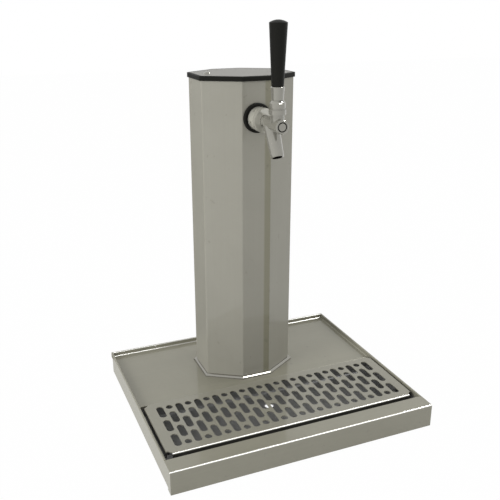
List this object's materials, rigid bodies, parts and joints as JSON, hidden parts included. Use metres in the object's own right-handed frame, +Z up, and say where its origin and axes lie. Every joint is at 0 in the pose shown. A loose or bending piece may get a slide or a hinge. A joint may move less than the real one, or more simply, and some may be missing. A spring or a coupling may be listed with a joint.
{
  "type": "beer tower dispenser",
  "caption": "Countertop beer tower: eight-sided stainless column with one lever tap, standing on a rectangular drip pan with a lift-out slotted grille.",
  "frame": {"origin": "centre of the pan's outline at the height of its underside, where it stands on the counter", "axes": "+Z up the column, -Y out of the tap towards the user, +X to the right of a user who faces the tap"},
  "size_m": [0.46, 0.393, 0.6576],
  "materials": {
    "pan_steel": "satin stainless sheet",
    "grille_steel": "satin stainless sheet",
    "column_steel": "polished stainless sheet",
    "cap_black": "moulded black plastic",
    "plate_steel": "polished stainless plate",
    "fastener_steel": "plain stainless fasteners",
    "tap_chrome": "polished chrome plate",
    "flange_black": "black plastic flange",
    "handle_black": "satin black plastic",
    "bushing_white": "acetal",
    "seal_rubber": "black rubber",
    "insert_brass": "turned brass",
    "line_plastic": "clear beer line",
    "foam": "rigid insulating foam"
  },
  "bodies": {
    "dispenser": {"tray_pan": "pan_steel", "tray_skirt": "pan_steel", "drip_well": "pan_steel", "drain_ring": "pan_steel", "grille_rests": "pan_steel", "tower_column": "column_steel", "base_collar": "column_steel", "foot_plate": "pan_steel", "tower_studs": "fastener_steel", "stud_washers": "fastener_steel", "stud_nuts": "fastener_steel", "column_foam": "foam", "tower_cap": "cap_black", "cap_plate": "plate_steel", "cap_brackets": "pan_steel", "cap_screws": "fastener_steel", "wall_flange": "flange_black", "shank": "tap_chrome", "shank_locknut": "tap_chrome", "tail_piece": "tap_chrome", "tail_nut": "tap_chrome", "tail_washer": "seal_rubber", "beer_line": "line_plastic", "hose_clamp": "fastener_steel", "coupling_nut": "tap_chrome", "coupling_washer": "seal_rubber", "tap_body": "tap_chrome", "front_plug": "tap_chrome", "plug_ring": "seal_rubber", "lever_bushing": "bushing_white", "lever_bonnet": "tap_chrome"},
    "lever": {"tap_lever": "tap_chrome", "lever_ferrule": "tap_chrome", "tap_handle": "handle_black", "handle_insert": "insert_brass"},
    "shaft": {"tap_shaft": "tap_chrome", "shaft_seal": "seal_rubber", "seal_nut": "fastener_steel"},
    "grille": {"grille": "grille_steel"}
  },
  "joints": [
    {"name": "lever_pivot", "type": "hinge", "parent": "dispenser", "child": "lever", "pos_m": [0, -0.05553, 0.532], "axis": [1, 0, 0], "range_deg": [0, 30]},
    {"name": "shaft_slide", "type": "slide", "parent": "dispenser", "child": "shaft", "axis": [0, 1, 0], "range_m": [0, 0.013]},
    {"name": "grille_lift", "type": "slide", "parent": "dispenser", "child": "grille", "axis": [0, 0, 1], "range_m": [0, 0.12]}
  ],
  "couplings": [
    {"joint": "shaft_slide", "follows": "lever_pivot", "m_per_rad": 0.0247}
  ]
}
